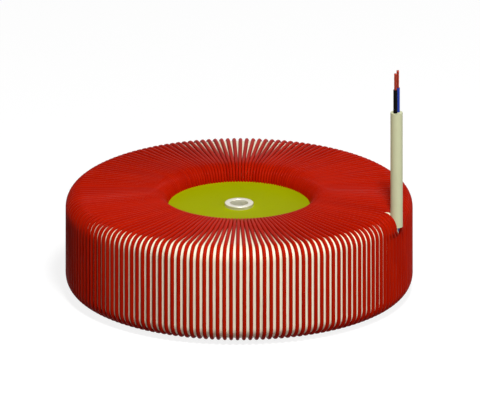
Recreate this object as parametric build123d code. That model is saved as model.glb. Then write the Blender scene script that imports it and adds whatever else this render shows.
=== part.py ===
from build123d import *
import math
import os

# Toroidal transformer in millimetres, +Z up, origin at the middle of its base.
# From the inside out: a strip-wound steel ring, two moulded caps that box it, the primary winding,
# a wrap of insulating tape and the secondary winding, which is one long wire. Resin fills the hole
# round a metal bushing for the fixing bolt, and a two-core cable comes up out of the outer edge.

# Secondary winding
outer_diameter = 150.0  # over the turns
winding_height = 44.0  # over the turns, at the outer wall
hole_diameter = 61.2  # between the turns, across the hole
wire_diameter = 1.7
turn_count = 160
outer_bend = 7.0  # outside radius of a turn at the outer edges
hole_bend = 7.0  # the same at the hole
turn_gap = 0.03  # left between turns that lie against each other
first_turn_angle = 89.53  # degrees from +X, about +Z
end_gap = 6.0  # between the wire's two cut ends, on the outer wall

# Layers under it
layer_gap = 0.05  # between one layer and the next
tape_thickness = 0.6
primary_bore = 2.4  # thickness of the primary winding on the hole's wall, where it is crowded
primary_face = 1.9  # on the top and the bottom
primary_behind = 0.3  # left of it behind the cable's pocket, on the outer wall
cap_thickness = 1.2
cap_joint = 0.2  # gap between the two caps, at mid height
steel_bend = 0.8  # rounding of the steel ring's edges

# Centre
base_clearance = 0.3  # the resin stands below the lowest turns by this
resin_recess = 6.65  # from the top of the turns at the outer edge down to the resin
bushing_diameter = 12.4
bushing_bore = 7.6
bushing_stand = 1.6  # above the resin
bushing_bevel = 0.4
resin_gap = 0.05  # round the resin and round the bushing

# Cable
jacket_diameter = 5.3
jacket_turn = 110.5  # it stands between turns 110 and 111
jacket_depth = 6.5  # its cut end is this far below the top of the turns
jacket_height = 45.7  # its top is this far above them
cable_gap = 0.05
parting_pitch = 2.0  # between the turns that the cable pushes aside
parting_run = 6.0  # length over which such a turn moves aside
parting_bend = 5.0
parting_lead = 1.3  # from where it is aside to the jacket or to the outer edge's bend
core_diameter = 1.8
core_apart = 0.12  # between the two cores
core_angle = 57.3  # direction from the black core to the blue one, degrees from +X
conductor_diameter = 1.15
core_stubs = {"black": 10.6, "blue": 11.0}  # insulation that stands out of the jacket
bare_ends = {"black": 7.4, "blue": 7.9}  # bare copper that stands out of the insulation
core_gap = 0.02  # round each core in the jacket, and round each conductor
channel_lap = 1.0  # by which the cores' channels run into the pocket and the joints' holes
core_bend = 6.0  # radius of the core's two bends, below the jacket's cut end
bend_start = 1.2  # depth of the first bend's corner below the cut end
bend_end = 7.0  # the same for the second

# Soldered joints of the cores to the primary winding's ends
joint_diameter = 1.8
joint_apart = 0.3
joint_cover = 0.25  # of winding between the joints and the tape
joint_length = 6.0
joint_top = 11.0  # depth of their tops below the jacket's cut end
conductor_in_joint = 3.0
core_strip = 1.0  # bare copper above the joint

# Worked out from the sizes above
turn_pitch = 360 / turn_count
wire_radius = wire_diameter / 2
outer_radius = outer_diameter / 2 - wire_radius  # of the wire's centreline
lapped_radius = hole_diameter / 2 + wire_radius  # of every second turn in the hole


def chord(radius):  # between two neighbouring turns
    return 2 * radius * math.sin(math.radians(turn_pitch) / 2)


# The turns don't fit side by side in the hole, so every second one lies on its two neighbours
lap = math.sqrt(max(0, (wire_diameter + turn_gap) ** 2 - chord(lapped_radius) ** 2))
inner_radius = lapped_radius + lap
turns_bottom = base_clearance + lap  # at the outer edge
turns_top = turns_bottom + winding_height
wire_bottom = turns_bottom + wire_radius
wire_top = turns_top - wire_radius
mid_height = (turns_bottom + turns_top) / 2

tape_outside = outer_radius - wire_radius - layer_gap
tape_inside = inner_radius + wire_radius + layer_gap
tape_bottom = turns_bottom + wire_diameter + layer_gap
tape_top = turns_top - wire_diameter - layer_gap
tape_wall_bend = outer_bend - wire_diameter - layer_gap
tape_hole_bend = hole_bend - lap - wire_diameter - layer_gap

# How far inside the tape's surface the next layers lie
primary_step = tape_thickness + layer_gap
cap_at_hole = primary_step + primary_bore + layer_gap
cap_at_wall = jacket_diameter / 2 + cable_gap + primary_behind + layer_gap
cap_at_faces = primary_step + primary_face + layer_gap
cap_bend = steel_bend + cap_thickness

# The cable stands half in and half out of the tape's outer wall
jacket_radius = tape_outside
jacket_angle = first_turn_angle + jacket_turn * turn_pitch
jacket_bottom = turns_top - jacket_depth
jacket_top = turns_top + jacket_height
core_spacing = core_diameter + core_apart
joint_radius = tape_outside - primary_step - joint_cover - joint_diameter / 2
joint_spacing = joint_diameter + joint_apart
resin_top = turns_top - resin_recess
edge_bend = outer_bend - wire_radius  # of the centreline, at the outer edges
parted_height = min(wire_top - edge_bend, jacket_bottom) - parting_lead
parted_radius = min(outer_radius - edge_bend, jacket_radius - jacket_diameter / 2) - parting_lead


def polar(radius, angle, height):
    turned = math.radians(angle)
    return Vector(radius * math.cos(turned), radius * math.sin(turned), height)


# A round bar along straight runs, with an arc of the given radius at each point between them.
def bar(points, bends, diameter):
    outline = Edge.make_circle(diameter / 2, Plane(points[0], z_dir=points[1] - points[0]))
    faces = [Face(Wire([outline]))]
    taken = 0.0  # length of the run that the arc before it took
    for before, corner, after, bend in zip(points, points[1:], points[2:], bends):
        ahead = (corner - before).normalized()
        onward = (after - corner).normalized()
        turned = ahead.get_angle(onward)
        cut = bend * math.tan(math.radians(turned) / 2)
        run = ahead * ((corner - before).length - taken - cut)
        faces.append(Face.extrude(outline, run))
        outline = outline.translate(run)
        normal = ahead.cross(onward).normalized()
        pivot = Axis(corner - ahead * cut + normal.cross(ahead) * bend, normal)
        faces.append(Face.revolve(outline, turned, pivot))
        outline = outline.rotate(pivot, turned)
        taken = cut
    last = points[-1] - points[-2]
    run = last.normalized() * (last.length - taken)
    faces.append(Face.extrude(outline, run))
    faces.append(Face(Wire([outline.translate(run)])))
    return Solid(Shell(faces))


# A tube about Z from one height to another; a bore of 0 makes it a disc.
def upright(outside, bore, bottom, top, place=Vector(0, 0, 0)):
    middle = Pos(place + Vector(0, 0, (bottom + top) / 2))
    tube = middle * Cylinder(outside / 2, top - bottom)
    return tube - middle * Cylinder(bore / 2, top - bottom) if bore else tube


# A ring about Z with a rounded section. The section is that of the tape's outside, or inside it by
# the given steps at the hole, at the outer wall and at the two faces.
def ring(at_hole, at_wall, at_faces, hole_round, wall_round):
    inside, outside = tape_inside + at_hole, tape_outside - at_wall
    bottom, top = tape_bottom + at_faces, tape_top - at_faces
    section = Rot(90, 0, 0) * Rectangle(outside - inside, top - bottom)
    section = Pos((inside + outside) / 2, 0, (bottom + top) / 2) * section
    section = fillet(section.vertices().sort_by(Axis.X)[:2], hole_round)
    section = fillet(section.vertices().sort_by(Axis.X)[-2:], wall_round)
    return revolve(section, Axis.Z)


# Angle by which the cable pushes a turn aside at this radius, away from the cable.
def aside(turn, radius):
    place = turn - jacket_turn
    rank = abs(place) - 0.5  # 0 for the two turns that touch the jacket
    own = radius * math.radians(abs(place) * turn_pitch)
    pushed = jacket_diameter / 2 + cable_gap + wire_radius + rank * parting_pitch
    return math.copysign(math.degrees(max(0, pushed - own) / radius), place)


# The points of one turn, each with its bend: up the outer wall, across the top, down the hole and
# back along the bottom to where the next turn starts.
def turn_route(turn):
    angle = first_turn_angle + turn * turn_pitch
    raised = lap * (turn % 2)
    hole = inner_radius - raised
    inner_bend = hole_bend - wire_radius - lap + raised

    def on_top(radius, turned):
        slope = raised / (outer_radius - hole)
        return polar(radius, angle + turned, wire_top + slope * (outer_radius - radius))

    at_edge = aside(turn, outer_radius)
    at_face = aside(turn, parted_radius)
    route = []
    if at_edge:
        low = parted_height - parting_run
        route.append((polar(outer_radius, angle, low), parting_bend))
        route.append((polar(outer_radius, angle + at_edge, parted_height), parting_bend))
    route.append((on_top(outer_radius, at_edge), edge_bend))
    if at_face:
        route.append((on_top(parted_radius, at_face), parting_bend))
        route.append((on_top(parted_radius - parting_run, 0), parting_bend))
    route.append((on_top(hole, 0), inner_bend))
    route.append((polar(hole, angle, wire_bottom - raised), inner_bend))
    route.append((polar(outer_radius, angle + turn_pitch, wire_bottom), edge_bend))
    return route


def secondary_winding():
    points = [polar(outer_radius, first_turn_angle, mid_height + end_gap / 2)]
    bends = []
    for turn in range(turn_count):
        for point, bend in turn_route(turn):
            points.append(point)
            bends.append(bend)
    points.append(polar(outer_radius, first_turn_angle, mid_height - end_gap / 2))
    return bar(points, bends, wire_diameter)


# Where the cable leaves the layers: a round pocket for the jacket and a channel for each core.
def cable_way():
    stand = polar(jacket_radius, jacket_angle, 0)
    way = upright(jacket_diameter + 2 * cable_gap, 0, jacket_bottom, jacket_top, stand)
    for colour in core_stubs:
        way += core_bar(colour, core_diameter + 2 * cable_gap, channel_lap, joint_top + channel_lap)
        way += joint_bar(colour, joint_diameter + 2 * cable_gap, joint_length + cable_gap)
    return way


def outer_insulation():
    wrap = ring(0, 0, 0, tape_hole_bend, tape_wall_bend)
    step = tape_thickness
    space = ring(step, step, step, tape_hole_bend - step, tape_wall_bend - step)
    return wrap - space - cable_way()


def primary_winding():
    step = primary_step
    copper = ring(step, step, step, tape_hole_bend - step, tape_wall_bend - step)
    gap = layer_gap
    space = ring(cap_at_hole - gap, cap_at_wall - gap, cap_at_faces - gap, cap_bend + gap, cap_bend + gap)
    return copper - space - cable_way()


# One of the two halves of the moulded box: -1 is the lower cap, 1 the upper one.
def core_cap(side):
    box = ring(cap_at_hole, cap_at_wall, cap_at_faces, cap_bend, cap_bend)
    wall = cap_thickness
    space = ring(cap_at_hole + wall, cap_at_wall + wall, cap_at_faces + wall, steel_bend, steel_bend)
    heights = sorted([mid_height + side * cap_joint / 2, mid_height + side * winding_height / 2])
    return (box - space) & upright(outer_diameter, 0, heights[0], heights[1])


def steel_core():
    step = cap_thickness + layer_gap
    return ring(cap_at_hole + step, cap_at_wall + step, cap_at_faces + step, steel_bend, steel_bend)


def centre_potting():
    return upright(hole_diameter - 2 * resin_gap, bushing_diameter + 2 * resin_gap, 0, resin_top)


def centre_bushing():
    tube = upright(bushing_diameter, bushing_bore, 0, resin_top + bushing_stand)
    return chamfer(tube.edges().filter_by(GeomType.CIRCLE).group_by(Axis.Z)[-1], bushing_bevel)


# Centre of a core or a joint at the jacket's cut end: they lie side by side.
def beside(colour, radius, direction, spacing):
    side = -1 if colour == "black" else 1
    return polar(radius, jacket_angle, jacket_bottom) + polar(side * spacing / 2, direction, 0)


# A core's route from a height above the jacket's cut end to a depth below it: it bends inwards
# there, under the tape, to its place in the primary winding.
def core_bar(colour, diameter, above, below):
    stand = beside(colour, jacket_radius, core_angle, core_spacing)
    seat = beside(colour, joint_radius, jacket_angle + 90, joint_spacing)
    heights = [above, -bend_start, -bend_end, -below]
    points = [place + Vector(0, 0, height) for place, height in zip([stand, stand, seat, seat], heights)]
    return bar(points, [core_bend, core_bend], diameter)


def joint_bar(colour, diameter, length):
    seat = beside(colour, joint_radius, jacket_angle + 90, joint_spacing)
    return upright(diameter, 0, -joint_top - length, -joint_top, seat)


def insulation_top(colour):
    return jacket_top - jacket_bottom + core_stubs[colour]


def cable_jacket():
    height = jacket_top - jacket_bottom
    sheath = upright(jacket_diameter, 0, 0, height, polar(jacket_radius, jacket_angle, jacket_bottom))
    for colour in core_stubs:
        place = beside(colour, jacket_radius, core_angle, core_spacing)
        sheath -= upright(core_diameter + 2 * core_gap, 0, 0, height, place)
    return sheath


def core(colour):
    top = insulation_top(colour)
    hole = core_bar(colour, conductor_diameter + 2 * core_gap, top, joint_top - core_strip)
    return core_bar(colour, core_diameter, top, joint_top - core_strip) - hole


def conductor(colour):
    top = insulation_top(colour) + bare_ends[colour]
    return core_bar(colour, conductor_diameter, top, joint_top + conductor_in_joint)


def joint(colour):
    hole = joint_bar(colour, conductor_diameter + 2 * core_gap, conductor_in_joint + core_gap)
    return joint_bar(colour, joint_diameter, joint_length) - hole


os.makedirs("parts", exist_ok=True)
pieces = {
    "steel_core": steel_core(),
    "core_cap_lower": core_cap(-1),
    "core_cap_upper": core_cap(1),
    "primary_winding": primary_winding(),
    "outer_insulation": outer_insulation(),
    "secondary_winding": secondary_winding(),
    "centre_potting": centre_potting(),
    "centre_bushing": centre_bushing(),
    "cable_jacket": cable_jacket(),
}
for colour in core_stubs:
    pieces[colour + "_core"] = core(colour)
    pieces[colour + "_conductor"] = conductor(colour)
    pieces[colour + "_joint"] = joint(colour)
for name, piece in pieces.items():
    export_step(piece, f"parts/{name}.step")
print("radii of the cores' bends:", core_bend)
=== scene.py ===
import math

import bmesh
import bpy
from mathutils import Matrix, Vector


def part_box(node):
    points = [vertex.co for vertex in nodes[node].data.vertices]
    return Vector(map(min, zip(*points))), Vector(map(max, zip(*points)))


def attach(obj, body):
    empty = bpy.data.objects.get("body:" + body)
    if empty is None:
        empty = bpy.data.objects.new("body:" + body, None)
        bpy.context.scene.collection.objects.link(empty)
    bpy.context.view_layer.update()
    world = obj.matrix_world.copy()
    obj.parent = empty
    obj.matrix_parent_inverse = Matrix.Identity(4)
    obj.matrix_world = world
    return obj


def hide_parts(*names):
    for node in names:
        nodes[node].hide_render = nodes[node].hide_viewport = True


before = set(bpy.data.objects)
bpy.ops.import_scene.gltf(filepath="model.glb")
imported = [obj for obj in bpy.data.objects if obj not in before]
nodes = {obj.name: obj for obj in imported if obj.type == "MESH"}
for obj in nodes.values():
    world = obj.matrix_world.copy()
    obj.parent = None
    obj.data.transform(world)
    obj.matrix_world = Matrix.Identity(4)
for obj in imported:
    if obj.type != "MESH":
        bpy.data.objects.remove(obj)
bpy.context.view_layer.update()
mm = 0.001
print("loaded", len(nodes), "parts")


# Camera: square on to the front, from a little above, with no perspective
tapeLow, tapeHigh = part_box("outer_insulation")
view = {
    "elevation": 19.37,  # degrees
    "width": 207.3 * mm,  # what the view takes in across
    "distance": 1.2,
    "aside": 0.37 * mm,
    "down": 2.25 * mm,  # from the tape's top face to the middle of the view
}
cameraData = bpy.data.cameras.new("camera")
cameraData.type = "ORTHO"
cameraData.ortho_scale = view["width"]
camera = bpy.data.objects.new("camera", cameraData)
bpy.context.scene.collection.objects.link(camera)
bpy.context.scene.camera = camera
tilt = math.radians(view["elevation"])
aim = Vector((view["aside"], 0, tapeHigh.z - view["down"]))
camera.location = aim + view["distance"] * Vector((0, -math.cos(tilt), math.sin(tilt)))
camera.rotation_euler = (math.pi / 2 - tilt, 0, 0)


# The cable's sheath stands straight up out of the outer edge, cut off square at the top
jacketLow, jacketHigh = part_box("cable_jacket")
cable = {
    "diameter": jacketHigh.x - jacketLow.x,
    "foot": Vector(((jacketLow.x + jacketHigh.x) / 2, (jacketLow.y + jacketHigh.y) / 2, jacketLow.z)),
    "length": jacketHigh.z - jacketLow.z,
}
sheathCurve = bpy.data.curves.new("cableJacket", "CURVE")
sheathCurve.dimensions = "3D"
sheathCurve.bevel_depth = cable["diameter"] / 2
sheathCurve.bevel_resolution = 10
sheathCurve.use_fill_caps = True
sheathLine = sheathCurve.splines.new("NURBS")
heights = [0, 0.34, 0.67, 1]  # shares of its length
sheathLine.points.add(len(heights) - 1)
for point, share in zip(sheathLine.points, heights):
    point.co = (cable["foot"] + Vector((0, 0, share * cable["length"]))).to_4d()
sheathLine.order_u = 3
sheathLine.use_endpoint_u = True
cableJacket = bpy.data.objects.new("cableJacket", sheathCurve)
bpy.context.scene.collection.objects.link(cableJacket)
print("cable", round(cable["length"] / mm, 1), "mm long")


# Shaders are written as sums on this: a socket, and the node tree that it belongs to
class Wave:
    def __init__(self, tree, socket):
        self.tree = tree
        self.socket = socket

    def math(self, operation, *others):
        return self.tree.node("Math", {"operation": operation}, self, *others)

    def __add__(self, other):
        return self.math("ADD", other)

    def __sub__(self, other):
        return self.math("SUBTRACT", other)

    def __mul__(self, other):
        return self.math("MULTIPLY", other)

    def __rsub__(self, other):
        return self.tree.node("Math", {"operation": "SUBTRACT"}, other, self)

    __radd__ = __add__
    __rmul__ = __mul__


# The nodes of a material or of the world, with the shader that they end in
class Tree:
    def __init__(self, owner, shader, fixed):
        owner.use_nodes = True
        self.owner = owner
        self.nodes = owner.node_tree.nodes
        self.links = owner.node_tree.links
        self.shader = self.nodes[shader]
        for name, value in fixed.items():
            self.shader.inputs[name].default_value = value

    # any node: its type, settings, then its sockets in order or by name
    def node(self, kind, settings=None, *inOrder, output=0, **byName):
        made = self.nodes.new("ShaderNode" + kind)
        for key, value in (settings or {}).items():
            setattr(made, key, value)
        for key, value in [*enumerate(inOrder), *byName.items()]:
            if value is not None:
                self.feed(made.inputs[key], value)
        return Wave(self, made.outputs[output])

    def feed(self, socket, value):
        if isinstance(value, Wave):
            self.links.new(value.socket, socket)
        else:
            socket.default_value = value

    # several outputs of the node that one of them belongs to
    def outputs(self, wave, *names):
        return [Wave(self, wave.socket.node.outputs[name]) for name in names]

    # 1 for what the camera sees, straight, mirrored or through something clear, and 0 for other light
    def seen(self):
        rays = self.outputs(self.node("LightPath"), "Is Camera Ray", "Is Glossy Ray", "Is Transmission Ray")
        return rays[0].math("MAXIMUM", rays[1]).math("MAXIMUM", rays[2])

    def blend(self, share, first, second):
        settings = {"data_type": "RGBA"}
        return self.node("Mix", settings, share, None, None, None, None, None, first, second, output=2)


class Paint(Tree):
    def __init__(self, name, fixed):
        super().__init__(bpy.data.materials.new(name), "Principled BSDF", fixed)
        self.place = self.node("TexCoord", output="Object")
        self.x, self.y, self.z = self.outputs(self.node("SeparateXYZ", None, self.place), 0, 1, 2)

    def join(self, x, y, z):
        return self.node("CombineXYZ", None, x, y, z)

    # round the ring's axis, in radians
    def angle(self):
        return self.y.math("ARCTAN2", self.x)

    def radius(self):
        flat = self.join(self.x, self.y, 0.0)
        return self.node("VectorMath", {"operation": "LENGTH"}, flat, output="Value")

    def noise(self, vector, scale, detail=3.0):
        return self.node("TexNoise", None, Vector=vector, Scale=scale, Detail=detail, Roughness=0.55)

    # 0 below low, 1 above high
    def step(self, value, low, high):
        settings = {"interpolation_type": "SMOOTHSTEP"}
        return self.node("MapRange", settings, value, low, high, 0.0, 1.0)

    def bump(self, height, depth, strength):
        made = self.node("Bump", None, Strength=strength, Distance=depth, Height=height)
        self.feed(self.shader.inputs["Normal"], made)

    def finish(self, base, roughness):
        self.feed(self.shader.inputs["Base Color"], base)
        self.feed(self.shader.inputs["Roughness"], roughness)
        return self.owner


# A colour from screen values of 0 to 255
def tone(red, green, blue):
    def linear(value):
        value /= 255
        return value / 12.92 if value <= 0.04045 else ((value + 0.055) / 1.055) ** 2.4

    return (linear(red), linear(green), linear(blue), 1.0)


def givePaint(piece, material):
    piece.data.materials.clear()
    piece.data.materials.append(material)


# What every new piece needs: faces that are smooth, a material and the body to ride on
def finishPiece(mesh, name, material, slot, *stoodFor):
    bmesh.ops.recalc_face_normals(mesh, faces=mesh.faces)
    for face in mesh.faces:
        face.smooth = True
    data = bpy.data.meshes.new(name)
    mesh.to_mesh(data)
    mesh.free()
    piece = bpy.data.objects.new(name, data)
    bpy.context.scene.collection.objects.link(piece)
    givePaint(piece, material)
    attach(piece, "root")
    if stoodFor:
        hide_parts(*stoodFor)
    return piece


def newVerts(grown):
    return [item for item in grown if isinstance(item, bmesh.types.BMVert)]


def rimEdges(grown):
    verts = set(newVerts(grown))
    return [e for e in grown if isinstance(e, bmesh.types.BMEdge) and set(e.verts) <= verts]


# A round bar along straight runs, spun round each bend. It gives its first and last rings.
def growBar(mesh, points, bends, radius, sides, bendSteps):
    ahead = (points[1] - points[0]).normalized()
    place = Matrix.Translation(points[0]) @ ahead.to_track_quat("Z", "Y").to_matrix().to_4x4()
    first = bmesh.ops.create_circle(mesh, segments=sides, radius=radius, matrix=place)["verts"]
    ring = list({edge for vert in first for edge in vert.link_edges})
    taken = 0.0
    stops = list(zip(points, points[1:], points[2:] + [None], bends + [0]))
    for before, corner, after, bend in stops:
        ahead = (corner - before).normalized()
        cut = 0.0
        if bend:
            turned = ahead.angle(after - corner)
            cut = bend * math.tan(turned / 2)
        grown = bmesh.ops.extrude_edge_only(mesh, edges=ring)["geom"]
        run = ahead * ((corner - before).length - taken - cut)
        bmesh.ops.translate(mesh, verts=newVerts(grown), vec=run)
        ring = rimEdges(grown)
        if bend:
            normal = ahead.cross(after - corner).normalized()
            pivot = corner - ahead * cut + normal.cross(ahead) * bend
            steps = max(2, round(turned / (math.pi / 2) * bendSteps))
            verts = list({vert for edge in ring for vert in edge.verts})
            spun = bmesh.ops.spin(
                mesh, geom=verts + ring, cent=pivot, axis=normal, angle=turned, steps=steps
            )["geom_last"]
            ring = rimEdges(spun)
        taken = cut
    return first, list({vert for edge in ring for vert in edge.verts})


# A profile of (radius, height) points spun about the ring's axis
def spinProfile(profile, steps):
    mesh = bmesh.new()
    verts = [mesh.verts.new((radius, 0, height)) for radius, height in profile]
    edges = [mesh.edges.new(pair) for pair in zip(verts, verts[1:])]
    bmesh.ops.spin(
        mesh, geom=verts + edges, cent=(0, 0, 0), axis=(0, 0, 1), angle=math.tau, steps=steps, use_merge=True
    )
    bmesh.ops.remove_doubles(mesh, verts=mesh.verts, dist=0.001 * mm)
    return mesh


# Red winding
bushLow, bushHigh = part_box("centre_bushing")
resinLow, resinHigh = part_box("centre_potting")
winding = {
    "wire": 1.7 * mm,
    "turns": 160,
    "firstAngle": 89.53,  # degrees from +X
    "endGap": 6 * mm,  # between the wire's cut ends, round the back
    "outsideBend": 7 * mm,  # over the turns, at the outer edges
    "holeBend": 7 * mm,
    "rise": 0.6 * mm,  # of the top run towards the hole
    "touch": 0.03 * mm,  # left between turns that lie together
    "layerGap": 0.05 * mm,  # left between the turns and the tape, and round the resin
    "cableTurn": 110.5,  # the cable comes up between turns 110 and 111
    "partingPitch": 2.3 * mm,  # between the turns that it pushes aside
    "partingRun": 2.1 * mm,  # up the wall, from where they stand evenly
    "partingBend": 1.4 * mm,
    "partingLead": 0.65 * mm,  # of straight wall above that
    "partingSlack": 0.2 * mm,  # between such a turn and the cable
    "closedRadius": 64.5 * mm,  # on the top face they stand evenly again from here in
    "sides": 14,
    "bendSteps": 6,
}
wireRadius = winding["wire"] / 2
pitch = math.tau / winding["turns"]
outerRadius = tapeHigh.x + winding["layerGap"] + wireRadius
holeRadius = resinHigh.x + winding["layerGap"] + wireRadius
crowdedRadius = (winding["wire"] + winding["touch"]) / pitch  # inside this, turns have less than their width
wireTop = tapeHigh.z + winding["layerGap"] + wireRadius
wireBottom = tapeLow.z - winding["layerGap"] - wireRadius
edgeBend = winding["outsideBend"] - wireRadius
firstAngle = math.radians(winding["firstAngle"])
partedHeight = min(wireTop - edgeBend, jacketLow.z) - winding["partingLead"]


def polar(radius, angle, height):
    return Vector((radius * math.cos(angle), radius * math.sin(angle), height))


# Angle by which the cable pushes a turn aside at this radius
def aside(turn, radius):
    place = turn - winding["cableTurn"]
    rank = abs(place) - 0.5
    own = radius * abs(place) * pitch
    pushed = cable["diameter"] / 2 + winding["partingSlack"] + wireRadius + rank * winding["partingPitch"]
    return math.copysign(max(0.0, pushed - own) / radius, place)


# One turn, from the middle of the outer wall round to the middle of the wall one turn further on
def turnRoute(turn, start, end):
    angle = firstAngle + turn * pitch
    holeBend = winding["holeBend"] - wireRadius
    crowded = (outerRadius - crowdedRadius) / (outerRadius - holeRadius)  # share of the run from the edge

    def onTop(radius, pushed):
        rise = winding["rise"] * (outerRadius - radius) / (outerRadius - holeRadius)
        return polar(radius, angle + pushed, wireTop + rise)

    atEdge = aside(turn, outerRadius)
    route = [(polar(outerRadius, angle, start), 0)]
    if atEdge:
        low = partedHeight - winding["partingRun"]
        route.append((polar(outerRadius, angle, low), winding["partingBend"]))
        route.append((polar(outerRadius, angle + atEdge, partedHeight), winding["partingBend"]))
    route.append((onTop(outerRadius, atEdge), edgeBend))
    if atEdge:
        route.append((onTop(winding["closedRadius"], 0), winding["partingBend"]))
    route.append((onTop(crowdedRadius, 0), 0))
    route.append((onTop(holeRadius, 0), holeBend))
    underHole = polar(holeRadius, angle, wireBottom)
    underEdge = polar(outerRadius, angle + pitch, wireBottom)
    route.append((underHole, holeBend))
    route.append((underEdge.lerp(underHole, crowded), 0))
    route.append((underEdge, edgeBend))
    route.append((polar(outerRadius, angle + pitch, end), 0))
    return [point for point, bend in route], [bend for point, bend in route[1:-1]]


# In the hole and near it the turns stand side by side in less than their own width
def crowdTurn(mesh):
    verts = list(mesh.verts)
    for start in range(0, len(verts), winding["sides"]):
        ring = verts[start : start + winding["sides"]]
        middle = sum((vert.co for vert in ring), Vector()) / len(ring)
        share = min(1.0, middle.xy.length * pitch / winding["wire"] - winding["touch"] / winding["wire"])
        across = Vector((-middle.y, middle.x, 0)).normalized()
        for vert in ring:
            vert.co -= (1 - share) * across.dot(vert.co - middle) * across


# Red enamel on copper wire: no two turns are quite alike, and it has hardly any sheen
enamel = {"dark": (158, 14, 0), "light": (184, 28, 1), "cloud": 90.0, "grain": 900.0, "roughness": 0.26}


def enamelPaint():
    paint = Paint("redEnamel", {"Specular IOR Level": 0.015, "Coat Weight": 0.01, "Coat Roughness": 0.12})
    turn = paint.node("Attribute", {"attribute_name": "turn"}, output="Fac")
    each = paint.node("TexWhiteNoise", {"noise_dimensions": "1D"}, None, turn)
    cloud = paint.noise(paint.place, enamel["cloud"])
    grain = paint.noise(paint.place, enamel["grain"], 2.0)
    mixed = each * 0.45 + cloud * 0.4 + grain * 0.15
    base = paint.blend(mixed, tone(*enamel["dark"]), tone(*enamel["light"]))
    paint.bump(grain, 0.03 * mm, 0.25)
    return paint.finish(base, cloud * 0.16 + enamel["roughness"])


def redWinding(material):
    whole = bmesh.new()
    middle = (wireTop + wireBottom) / 2
    last = winding["turns"] - 1
    for turn in range(winding["turns"]):
        start = middle + winding["endGap"] / 2 * (turn == 0)
        end = middle - winding["endGap"] / 2 * (turn == last)
        single = bmesh.new()
        shade = single.verts.layers.float.new("turn")
        points, bends = turnRoute(turn, start, end)
        first, final = growBar(single, points, bends, wireRadius, winding["sides"], winding["bendSteps"])
        # the next turn's first ring stands where this one ends
        onward = Matrix.Rotation(pitch, 4, "Z") @ Matrix.Translation((0, 0, end - start))
        seats = [onward @ vert.co for vert in first]
        for vert in final:
            vert.co = min(seats, key=lambda seat: (seat - vert.co).length_squared)
        crowdTurn(single)
        for vert in single.verts:
            vert[shade] = turn
        if turn == 0:
            bmesh.ops.contextual_create(single, geom=first)
        if turn == last:
            bmesh.ops.contextual_create(single, geom=final)
        part = bpy.data.meshes.new("oneTurn")
        single.to_mesh(part)
        single.free()
        whole.from_mesh(part)
        bpy.data.meshes.remove(part)
    bmesh.ops.remove_doubles(whole, verts=whole.verts, dist=0.001 * mm)
    print("winding", len(whole.faces), "faces")
    return finishPiece(whole, "redWinding", material, "red_wire", "secondary_winding")


# Cream polyester tape, wound round the ring: each wrap laps over the one before it,
# and it is pressed up between the turns, which bed into it
tape = {
    "bulge": 0.6 * mm,
    "steps": 320,
    "bendSteps": 8,
    "wraps": 44,
    "slant": 6.0,  # wraps by which a wrap leans, for each metre up
    "lapHeight": 0.2 * mm,
    "lapEdge": 0.06,  # share of a wrap over which its edge shows
    "dark": (250, 246, 214),
    "light": (255, 252, 228),
    "edge": (206, 198, 158),
    "cloud": 60.0,  # noise scales
    "weave": 2500.0,
}


def tapePaint():
    paint = Paint("creamTape", {"Specular IOR Level": 0.25})
    angle = paint.angle()
    lap = (angle * (tape["wraps"] / math.tau) + paint.z * tape["slant"]).math("FRACT")
    edge = paint.step(lap, 0.0, tape["lapEdge"]) - paint.step(lap, 1.0 - tape["lapEdge"], 1.0)
    cloud = paint.noise(paint.place, tape["cloud"])
    fine = tape["weave"]
    weave = paint.noise(paint.join(angle * (fine * 80 * mm), paint.z * fine, paint.x * fine), 1.0, 2.0)
    base = paint.blend(cloud, tone(*tape["dark"]), tone(*tape["light"]))
    base = paint.blend((1 - edge) * 0.35, base, tone(*tape["edge"]))
    paint.bump(lap * 0.8 + edge * 0.2 + weave * 0.12, tape["lapHeight"], 0.5)
    return paint.finish(base, weave * 0.15 + 0.38)


def outerTape(material):
    bulge = tape["bulge"]
    outside, inside = tapeHigh.x + bulge, holeRadius + wireRadius
    top, bottom = tapeHigh.z + bulge, tapeLow.z - bulge
    bend = winding["outsideBend"] - winding["wire"] - winding["layerGap"] + bulge
    corners = [(outside, top, 0), (inside, top, 1), (inside, bottom, 2), (outside, bottom, 3)]
    profile = []
    for radius, height, quarter in corners:
        middle = (
            radius - bend if radius == outside else radius + bend,
            height - bend if height == top else height + bend,
        )
        for step in range(tape["bendSteps"] + 1):
            turned = math.pi / 2 * (quarter + step / tape["bendSteps"])
            profile.append((middle[0] + bend * math.cos(turned), middle[1] + bend * math.sin(turned)))
    profile.append(profile[0])
    mesh = spinProfile(profile, tape["steps"])
    return finishPiece(mesh, "outerTape", material, "tape", "outer_insulation")


# Cast resin: it creeps a little way up the turns round it and up the bushing
resin = {
    "creep": 0.4 * mm,
    "creepWidth": 1.0 * mm,
    "bushingCreep": 0.12 * mm,
    "steps": 160,
    "dark": (152, 160, 0),
    "light": (162, 170, 0),
    "speck": (118, 124, 0),
    "cloud": 45.0,  # noise scales
    "specks": 700.0,
    "skin": 120.0,
}


# A little cloudy, with a skin that isn't quite flat
def resinPaint():
    paint = Paint("oliveResin", {"Specular IOR Level": 0.01})
    cloud = paint.noise(paint.place, resin["cloud"], 4.0)
    speck = paint.step(paint.noise(paint.place, resin["specks"], 1.0), 0.68, 0.78)
    skin = paint.noise(paint.place, resin["skin"], 2.0)
    base = paint.blend(cloud, tone(*resin["dark"]), tone(*resin["light"]))
    base = paint.blend(speck * 0.25, base, tone(*resin["speck"]))
    paint.bump(skin, 0.12 * mm, 0.3)
    return paint.finish(base, cloud * 0.2 + 0.35)


def creep(edge, inward, height, rise, width):
    shares = [0, 0.12, 0.3, 0.55, 0.8, 1]
    return [(edge + inward * width * t, height + rise * (1 - t) ** 2) for t in shares]


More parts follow.
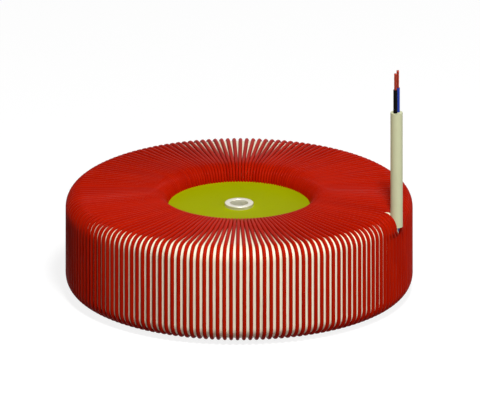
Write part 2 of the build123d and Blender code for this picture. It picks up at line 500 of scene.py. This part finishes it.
def resinCentre(material):
    rim = holeRadius
    hole = bushHigh.x + winding["layerGap"] / 2
    flat = resinHigh.z
    across = creep(hole, 1, flat, resin["bushingCreep"], resin["creepWidth"])
    outward = creep(rim, -1, flat, resin["creep"], rim - resinHigh.x + resin["creepWidth"])
    ledge = resinHigh.x
    profile = [(hole, resinLow.z)] + across + outward[::-1]
    profile += [(rim, tapeLow.z + winding["holeBend"]), (ledge, tapeLow.z)]
    profile += [(ledge, resinLow.z), (hole, resinLow.z)]
    mesh = spinProfile(profile, resin["steps"])
    return finishPiece(mesh, "resinCentre", material, "resin", "centre_potting")


# Bushing: a turned and plated tube with its edges broken
bushing = {
    "bore": 3.8 * mm,
    "bevel": 0.3 * mm,
    "steps": 96,
    "dark": (214, 212, 194),
    "light": (232, 230, 214),
    "grooves": 9000.0,  # noise scales: left by the tool
    "cloud": 300.0,
}


def bushingPaint():
    paint = Paint("platedBushing", {"Metallic": 0.8})
    across = paint.join(paint.radius() * bushing["grooves"], paint.z * bushing["grooves"], 0.0)
    grooves = paint.noise(across, 1.0, 1.0)
    cloud = paint.noise(paint.place, bushing["cloud"])
    base = paint.blend(cloud, tone(*bushing["dark"]), tone(*bushing["light"]))
    paint.bump(grooves, 0.02 * mm, 0.4)
    return paint.finish(base, grooves * 0.12 + cloud * 0.1 + 0.24)


def boltBushing(material):
    low, high, outside, bore = bushLow.z, bushHigh.z, bushHigh.x, bushing["bore"]
    profile = [(bore, low), (bore, high), (outside, high), (outside, low), (bore, low)]
    mesh = spinProfile(profile, bushing["steps"])
    rims = [e for e in mesh.edges if all(abs(v.co.z - high) < 0.01 * mm for v in e.verts)]
    rims = [e for e in rims if abs(e.verts[0].co.xy.length - e.verts[1].co.xy.length) < 0.01 * mm]
    bmesh.ops.bevel(
        mesh, geom=rims, offset=bushing["bevel"], affect="EDGES", segments=3, profile=0.5, material=-1
    )
    return finishPiece(mesh, "boltBushing", material, "bushing", "centre_bushing")


# Bare ends: seven fine strands twisted together, cut off square
strands = {
    "width": 1.15 * mm,  # over all seven
    "coreAngle": 57.3,  # degrees, of the blue core from the black one
    "apart": 0.96 * mm,  # of each core from the cable's axis
    "inCore": 2 * mm,
    "lay": 14 * mm,  # length of one full twist
    "step": 0.7 * mm,
    "sides": 10,
}


# Bare metal, tarnished a little along the strands
metals = {
    "bareCopper": {"dark": (150, 40, 18), "light": (176, 58, 30), "lines": 9000.0},
    "jointSolder": {"dark": (150, 150, 152), "light": (190, 190, 192), "lines": 3000.0},
}


def metalPaint(name):
    look = metals[name]
    paint = Paint(name, {"Metallic": 0.6})
    lines = look["lines"]
    drawn = paint.noise(paint.join(paint.x * lines, paint.y * lines, paint.z * lines * 0.1), 1.0, 2.0)
    cloud = paint.noise(paint.place, 400.0)
    base = paint.blend(cloud, tone(*look["dark"]), tone(*look["light"]))
    paint.bump(drawn, 0.02 * mm, 0.3)
    return paint.finish(base, cloud * 0.2 + 0.28)


def bareEnd(colour, side, material):
    turned = math.radians(strands["coreAngle"])
    axis = cable["foot"] + side * strands["apart"] * Vector((math.cos(turned), math.sin(turned), 0))
    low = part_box(colour + "_core")[1].z - strands["inCore"]
    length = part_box(colour + "_conductor")[1].z - low
    steps = round(length / strands["step"])
    mesh = bmesh.new()
    fine = strands["width"] / 6
    for strand in range(7):
        away = 0 if strand == 6 else 2 * fine
        seat = Matrix.Rotation(math.tau * strand / 6, 4, "Z") @ Matrix.Translation((away, 0, 0))
        place = Matrix.Translation((axis.x, axis.y, low)) @ seat
        first = bmesh.ops.create_circle(mesh, segments=strands["sides"], radius=fine, matrix=place)["verts"]
        ring = list({edge for vert in first for edge in vert.link_edges})
        bmesh.ops.contextual_create(mesh, geom=first)
        twist = Matrix.Rotation(math.tau * length / steps / strands["lay"], 3, "Z")
        for step in range(steps):
            grown = bmesh.ops.extrude_edge_only(mesh, edges=ring)["geom"]
            ring = rimEdges(grown)
            bmesh.ops.translate(mesh, verts=newVerts(grown), vec=(0, 0, length / steps))
            bmesh.ops.rotate(mesh, verts=newVerts(grown), cent=(axis.x, axis.y, 0), matrix=twist)
        bmesh.ops.contextual_create(mesh, geom=list({vert for edge in ring for vert in edge.verts}))
    return finishPiece(mesh, colour + "BareEnd", material, "copper", colour + "_conductor")


# Soft plastic: drawn lengthwise, with a faint matt bloom
plastics = {
    "blackCore": {"dark": (1, 1, 2), "light": (7, 7, 8), "roughness": 0.4, "shine": 0.06},
    "blueCore": {"dark": (28, 48, 140), "light": (50, 72, 176), "roughness": 0.32, "shine": 0.1},
    "capNylon": {"dark": (226, 220, 204), "light": (238, 234, 220), "roughness": 0.4, "shine": 0.3},
    "creamSheath": {"dark": (200, 202, 162), "light": (212, 214, 174), "roughness": 0.42, "shine": 0.3},
}


def plasticPaint(name):
    look = plastics[name]
    paint = Paint(name, {"Specular IOR Level": look["shine"]})
    drawn = paint.noise(paint.join(paint.x * 4000.0, paint.y * 4000.0, paint.z * 120.0), 1.0, 2.0)
    cloud = paint.noise(paint.place, 220.0)
    base = paint.blend(cloud * 0.7 + drawn * 0.3, tone(*look["dark"]), tone(*look["light"]))
    paint.bump(drawn, 0.03 * mm, 0.35)
    return paint.finish(base, cloud * 0.15 + look["roughness"])


# The strip's edges show as fine rings on the steel's faces
steel = {"strip": 0.3 * mm, "dark": (120, 122, 128), "light": (158, 160, 166)}


def steelPaint():
    paint = Paint("stripSteel", {"Metallic": 1.0})
    rings = (paint.radius() * (1 / steel["strip"])).math("FRACT")
    cloud = paint.noise(paint.place, 80.0)
    base = paint.blend(cloud, tone(*steel["dark"]), tone(*steel["light"]))
    paint.bump(rings, 0.05 * mm, 0.5)
    return paint.finish(base, cloud * 0.2 + 0.35)


# Thin copper turns side by side, as fine ridges, with painted shade between the turns and a painted
# highlight on their crests
primary = {"turns": 620, "between": (96, 34, 16), "litCrest": (184, 92, 52)}


def primaryPaint():
    paint = Paint("primaryCopper", {"Metallic": 0.7})
    ridges = (paint.angle() * (primary["turns"] / math.tau)).math("FRACT").math("PINGPONG", 0.5)
    cloud = paint.noise(paint.place, 90.0)
    # the colour runs from painted shade between the turns to a painted highlight on the crests
    base = paint.blend(ridges * 2.0, tone(*primary["between"]), tone(*primary["litCrest"]))
    paint.bump(ridges, 0.3 * mm, 0.8)
    return paint.finish(base, cloud * 0.15 + 0.3)


capNylon = plasticPaint("capNylon")
jointSolder = metalPaint("jointSolder")
carriedOver = {
    "steel_core": steelPaint(),
    "primary_winding": primaryPaint(),
    "core_cap_lower": capNylon,
    "core_cap_upper": capNylon,
    "black_core": plasticPaint("blackCore"),
    "blue_core": plasticPaint("blueCore"),
    "black_joint": jointSolder,
    "blue_joint": jointSolder,
}
for name, material in carriedOver.items():
    givePaint(nodes[name], material)
print("carried over", len(carriedOver), "parts")

outerTape(tapePaint())
redWinding(enamelPaint())
copper = metalPaint("bareCopper")
bareEnds = [bareEnd("black", -1, copper), bareEnd("blue", 1, copper)]
resinCentre(resinPaint())
boltBushing(bushingPaint())
givePaint(cableJacket, plasticPaint("creamSheath"))
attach(cableJacket, "root")
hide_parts("cable_jacket")
print("pieces made")


# A white floor and plain soft lamps
floorLook = {"size": 3.0, "below": 0.02 * mm, "grey": 0.2, "glow": 0.86}
floorMesh = bmesh.new()
sunk = Matrix.Translation((0, 0, -floorLook["below"]))
bmesh.ops.create_grid(floorMesh, x_segments=1, y_segments=1, size=floorLook["size"], matrix=sunk)
floorData = bpy.data.meshes.new("floor")
floorMesh.to_mesh(floorData)
floorMesh.free()
floor = bpy.data.objects.new("floor", floorData)
bpy.context.scene.collection.objects.link(floor)


def grey(value):
    return (value, value, value, 1.0)


def floorPaint():
    fixed = {"Roughness": 0.9, "Specular IOR Level": 0.0, "Emission Strength": 1.0}
    fixed["Base Color"] = grey(floorLook["grey"])
    paint = Tree(bpy.data.materials.new("floorWhite"), "Principled BSDF", fixed)
    glow = paint.blend(paint.seen(), grey(0.0), grey(floorLook["glow"]))
    paint.feed(paint.shader.inputs["Emission Color"], glow)
    return paint.owner


givePaint(floor, floorPaint())

lamps = {
    "key": {"turn": 9, "rise": 56, "far": 1.3, "size": 0.22, "level": 0.93},
    "right": {"turn": 65, "rise": 25, "far": 1.3, "size": 0.6, "level": 0.2},
    "front": {"turn": 0, "rise": 10, "far": 1.3, "size": 0.5, "level": 0.05},
}
for name, lamp in lamps.items():
    data = bpy.data.lights.new(name, "AREA")
    data.shape = "DISK"
    data.size = lamp["size"]
    data.energy = lamp["level"] * (math.pi * lamp["far"]) ** 2
    light = bpy.data.objects.new(name, data)
    turned = Matrix.Rotation(math.radians(lamp["turn"]), 3, "Z")
    level = math.radians(lamp["rise"])
    light.location = lamp["far"] * (turned @ Vector((0, -math.cos(level), math.sin(level))))
    light.rotation_euler = light.location.to_track_quat("Z", "Y").to_euler()
    bpy.context.scene.collection.objects.link(light)

# Dim for the object, white for the camera and for what mirrors
air = {"ambient": 0.1, "white": 1.0}
world = bpy.data.worlds.new("studio")
bpy.context.scene.world = world
sky = Tree(world, "Background", {"Color": grey(1.0)})
sky.feed(sky.shader.inputs["Strength"], sky.seen() * (air["white"] - air["ambient"]) + air["ambient"])
bpy.context.scene.view_settings.view_transform = "Standard"
print("lights and floor set")
